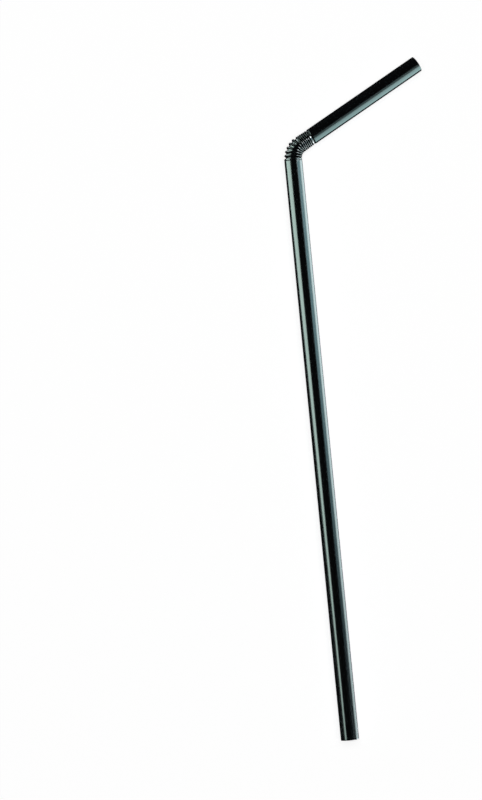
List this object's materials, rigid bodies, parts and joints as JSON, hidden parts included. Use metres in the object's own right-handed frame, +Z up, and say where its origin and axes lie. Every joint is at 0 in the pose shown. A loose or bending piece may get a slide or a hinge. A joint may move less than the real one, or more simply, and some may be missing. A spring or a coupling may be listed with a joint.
{
  "type": "flexible drinking straw",
  "caption": "Thin glossy black plastic drinking straw in one piece, with a folded bellows near its mouth that holds the short arm bent away from the long tube.",
  "frame": {"origin": "middle of the straw's outline, on the surface that it lies on", "axes": "+Y along the long tube from its foot towards the bend, +X the way the short arm turns, +Z up from the surface that it lies on"},
  "size_m": [0.0408, 0.187, 0.005],
  "materials": {
    "black_plastic": "smooth extruded black polypropylene with a high gloss"
  },
  "bodies": {
    "root": {"straw": "black_plastic"}
  },
  "joints": []
}
